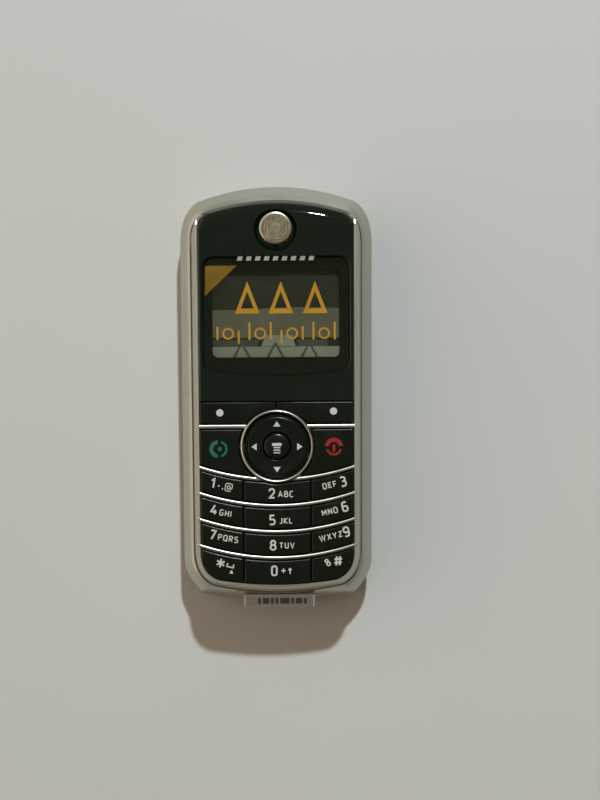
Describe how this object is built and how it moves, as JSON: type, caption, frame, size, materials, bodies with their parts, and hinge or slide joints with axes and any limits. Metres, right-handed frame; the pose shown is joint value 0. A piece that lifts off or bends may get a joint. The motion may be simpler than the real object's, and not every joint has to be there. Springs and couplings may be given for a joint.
{
  "type": "mobile telephone",
  "caption": "Small candy-bar mobile telephone with a silver case, black gloss front, recessed display window, round navigation key and curved keypad rows.",
  "frame": {"origin": "centre of the plan outline, on the plane of the back that the phone lies on", "axes": "+X across the keypad towards its 3-6-9 column, +Y along the phone towards the earpiece, +Z out of the display"},
  "size_m": [0.046, 0.1008, 0.019],
  "materials": {
    "silver_paint": "satin silver paint over moulded plastic",
    "cover_graphite": "fine spark-eroded texture",
    "battery_case": "smooth with printed label",
    "sim_plastic": "smooth card plastic",
    "bright_steel": "bright pressed steel",
    "screw_steel": "dark zinc",
    "lens_black": "high gloss",
    "window_clear": "clear acrylic",
    "film_clear": "thin clear film with gold print",
    "emblem_steel": "satin metal",
    "mesh_dark": "woven acoustic mesh",
    "key_black": "satin gloss",
    "mat_rubber": "silicone",
    "board_green": "solder mask",
    "frame_black": "moulded",
    "lcd_glass": "polariser over glass",
    "backlight_white": "light guide",
    "antenna_gold": "gold plated",
    "label_paper": "plain adhesive label"
  },
  "bodies": {
    "handset": {"rear_housing": "silver_paint", "front_housing": "silver_paint", "sim_holder": "bright_steel", "screw_upper_left": "screw_steel", "screw_upper_right": "screw_steel", "screw_lower_left": "screw_steel", "screw_lower_right": "screw_steel", "front_lens_plate": "lens_black", "display_window": "window_clear", "display_film": "film_clear", "emblem_disc": "emblem_steel", "earpiece_mesh": "mesh_dark", "keypad_mat": "mat_rubber", "dome_sheet": "bright_steel", "main_board": "board_green", "shield_can_radio": "bright_steel", "shield_can_logic": "bright_steel", "lcd_frame": "frame_black", "lcd_panel": "lcd_glass", "backlight": "backlight_white", "earpiece_speaker": "bright_steel", "ringer_speaker": "frame_black", "microphone": "bright_steel", "vibration_motor": "bright_steel", "antenna_carrier": "frame_black", "antenna_plate": "antenna_gold", "battery_contacts": "frame_black", "headset_jack": "frame_black", "charge_connector": "bright_steel", "end_label": "label_paper"},
    "soft_key_left": {"soft_key_left": "key_black"},
    "soft_key_right": {"soft_key_right": "key_black"},
    "call_key": {"call_key": "key_black"},
    "end_key": {"end_key": "key_black"},
    "menu_key": {"menu_key": "key_black"},
    "key_1": {"key_1": "key_black"},
    "key_2": {"key_2": "key_black"},
    "key_3": {"key_3": "key_black"},
    "key_4": {"key_4": "key_black"},
    "key_5": {"key_5": "key_black"},
    "key_6": {"key_6": "key_black"},
    "key_7": {"key_7": "key_black"},
    "key_8": {"key_8": "key_black"},
    "key_9": {"key_9": "key_black"},
    "key_star": {"key_star": "key_black"},
    "key_0": {"key_0": "key_black"},
    "key_hash": {"key_hash": "key_black"},
    "nav_pad": {"nav_pad": "mat_rubber"},
    "nav_disc": {"nav_disc": "key_black"},
    "battery_cover": {"battery_cover": "cover_graphite"},
    "battery": {"battery": "battery_case"},
    "cover_latch": {"cover_latch": "cover_graphite"},
    "sim_card": {"sim_card": "sim_plastic"},
    "vibration_weight": {"vibration_weight": "screw_steel"}
  },
  "joints": [
    {"name": "soft_key_left_press", "type": "slide", "parent": "handset", "child": "soft_key_left", "axis": [0, 0, -1], "range_m": [0, 0.0005], "stiffness_N_per_m": 1500},
    {"name": "soft_key_right_press", "type": "slide", "parent": "handset", "child": "soft_key_right", "axis": [0, 0, -1], "range_m": [0, 0.0005], "stiffness_N_per_m": 1500},
    {"name": "call_key_press", "type": "slide", "parent": "handset", "child": "call_key", "axis": [0, 0, -1], "range_m": [0, 0.0005], "stiffness_N_per_m": 1500},
    {"name": "end_key_press", "type": "slide", "parent": "handset", "child": "end_key", "axis": [0, 0, -1], "range_m": [0, 0.0005], "stiffness_N_per_m": 1500},
    {"name": "menu_key_press", "type": "slide", "parent": "handset", "child": "menu_key", "axis": [0, 0, -1], "range_m": [0, 0.0005], "stiffness_N_per_m": 1500},
    {"name": "key_1_press", "type": "slide", "parent": "handset", "child": "key_1", "axis": [0, 0, -1], "range_m": [0, 0.0005], "stiffness_N_per_m": 1500},
    {"name": "key_2_press", "type": "slide", "parent": "handset", "child": "key_2", "axis": [0, 0, -1], "range_m": [0, 0.0005], "stiffness_N_per_m": 1500},
    {"name": "key_3_press", "type": "slide", "parent": "handset", "child": "key_3", "axis": [0, 0, -1], "range_m": [0, 0.0005], "stiffness_N_per_m": 1500},
    {"name": "key_4_press", "type": "slide", "parent": "handset", "child": "key_4", "axis": [0, 0, -1], "range_m": [0, 0.0005], "stiffness_N_per_m": 1500},
    {"name": "key_5_press", "type": "slide", "parent": "handset", "child": "key_5", "axis": [0, 0, -1], "range_m": [0, 0.0005], "stiffness_N_per_m": 1500},
    {"name": "key_6_press", "type": "slide", "parent": "handset", "child": "key_6", "axis": [0, 0, -1], "range_m": [0, 0.0005], "stiffness_N_per_m": 1500},
    {"name": "key_7_press", "type": "slide", "parent": "handset", "child": "key_7", "axis": [0, 0, -1], "range_m": [0, 0.0005], "stiffness_N_per_m": 1500},
    {"name": "key_8_press", "type": "slide", "parent": "handset", "child": "key_8", "axis": [0, 0, -1], "range_m": [0, 0.0005], "stiffness_N_per_m": 1500},
    {"name": "key_9_press", "type": "slide", "parent": "handset", "child": "key_9", "axis": [0, 0, -1], "range_m": [0, 0.0005], "stiffness_N_per_m": 1500},
    {"name": "key_star_press", "type": "slide", "parent": "handset", "child": "key_star", "axis": [0, 0, -1], "range_m": [0, 0.0005], "stiffness_N_per_m": 1500},
    {"name": "key_0_press", "type": "slide", "parent": "handset", "child": "key_0", "axis": [0, 0, -1], "range_m": [0, 0.0005], "stiffness_N_per_m": 1500},
    {"name": "key_hash_press", "type": "slide", "parent": "handset", "child": "key_hash", "axis": [0, 0, -1], "range_m": [0, 0.0005], "stiffness_N_per_m": 1500},
    {"name": "nav_tilt_up_down", "type": "hinge", "parent": "handset", "child": "nav_pad", "pos_m": [0, -0.0116, 0.0165], "axis": [1, 0, 0], "range_deg": [-2.5, 2.5], "stiffness_Nm_per_rad": 0.2},
    {"name": "nav_tilt_left_right", "type": "hinge", "parent": "nav_pad", "child": "nav_disc", "pos_m": [0, -0.0116, 0.0165], "axis": [0, 1, 0], "range_deg": [-2.5, 2.5], "stiffness_Nm_per_rad": 0.2},
    {"name": "battery_cover_lift", "type": "slide", "parent": "handset", "child": "battery_cover", "axis": [0, 0, -1], "range_m": [0, 0.03]},
    {"name": "battery_lift", "type": "slide", "parent": "handset", "child": "battery", "axis": [0, 0, -1], "range_m": [0, 0.015]},
    {"name": "cover_latch_slide", "type": "slide", "parent": "handset", "child": "cover_latch", "axis": [0, 1, 0], "range_m": [0, 0.0012], "stiffness_N_per_m": 500},
    {"name": "sim_card_slide", "type": "slide", "parent": "handset", "child": "sim_card", "axis": [0, -1, 0], "range_m": [0, 0.014]},
    {"name": "vibration_weight_spin", "type": "hinge", "parent": "handset", "child": "vibration_weight", "pos_m": [0.0105, 0.037, 0.0046], "axis": [1, 0, 0], "continuous": true}
  ],
  "couplings": [
    {"joint": "battery_lift", "follows": "battery_cover_lift", "ratio": 0.5}
  ]
}
